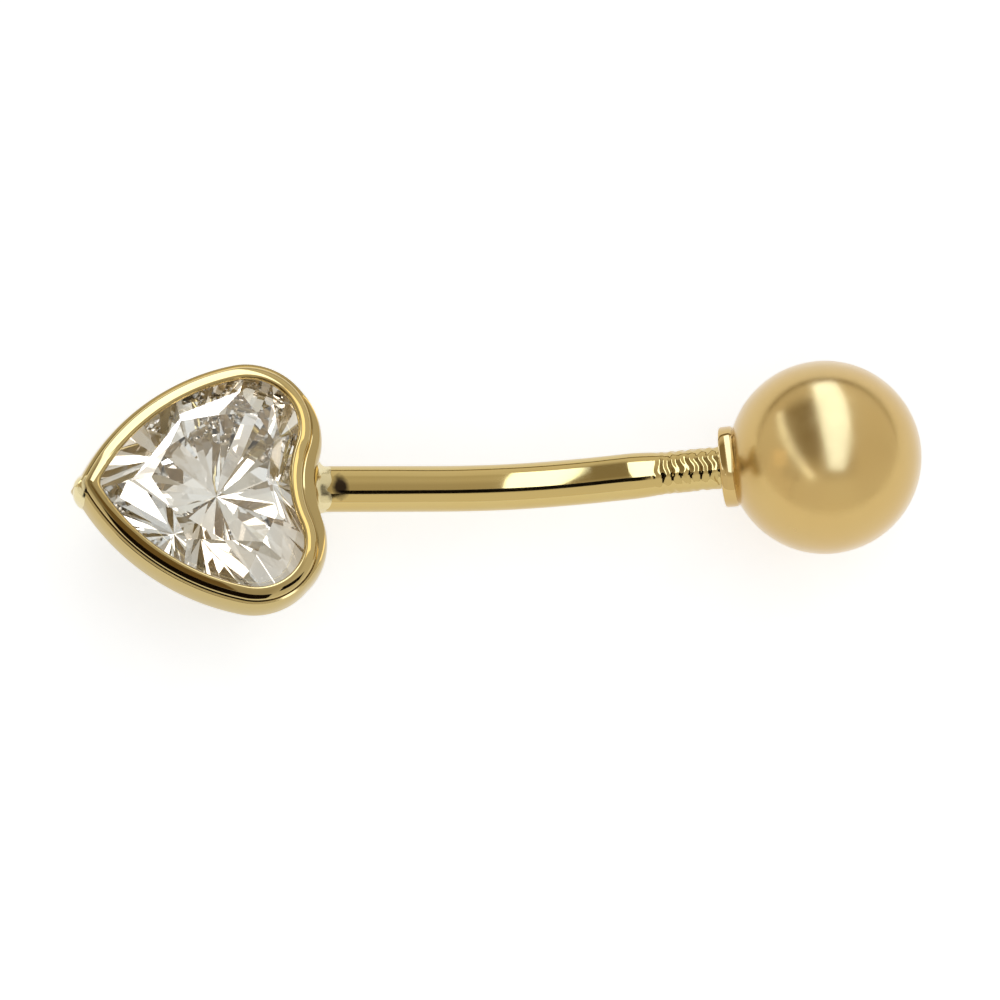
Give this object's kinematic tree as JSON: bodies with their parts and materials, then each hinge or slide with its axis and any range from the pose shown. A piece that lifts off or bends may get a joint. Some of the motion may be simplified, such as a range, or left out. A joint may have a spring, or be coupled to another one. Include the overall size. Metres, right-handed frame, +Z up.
{
  "type": "navel ring",
  "caption": "Navel ring: a heart-shaped clear stone in a gold bezel, soldered to a gently bent gold bar, with a hollow gold ball screwed onto the bar's threaded end.",
  "frame": {"origin": "under the middle of the ring's box, on the table it lies on", "axes": "+X from the heart's tip to the ball, +Y across the heart, +Z up"},
  "size_m": [0.022, 0.0068, 0.005],
  "materials": {
    "gold": "polished yellow gold",
    "stone": "polished facets"
  },
  "bodies": {
    "ring": {"heart_bezel_bar": "gold", "heart_stone": "stone"},
    "ball": {"screw_ball": "gold"}
  },
  "joints": [
    {"name": "ball_unscrew", "type": "slide", "parent": "ring", "child": "ball", "axis": [0.9867, 0, 0.1625], "range_m": [0, 0.004]}
  ]
}
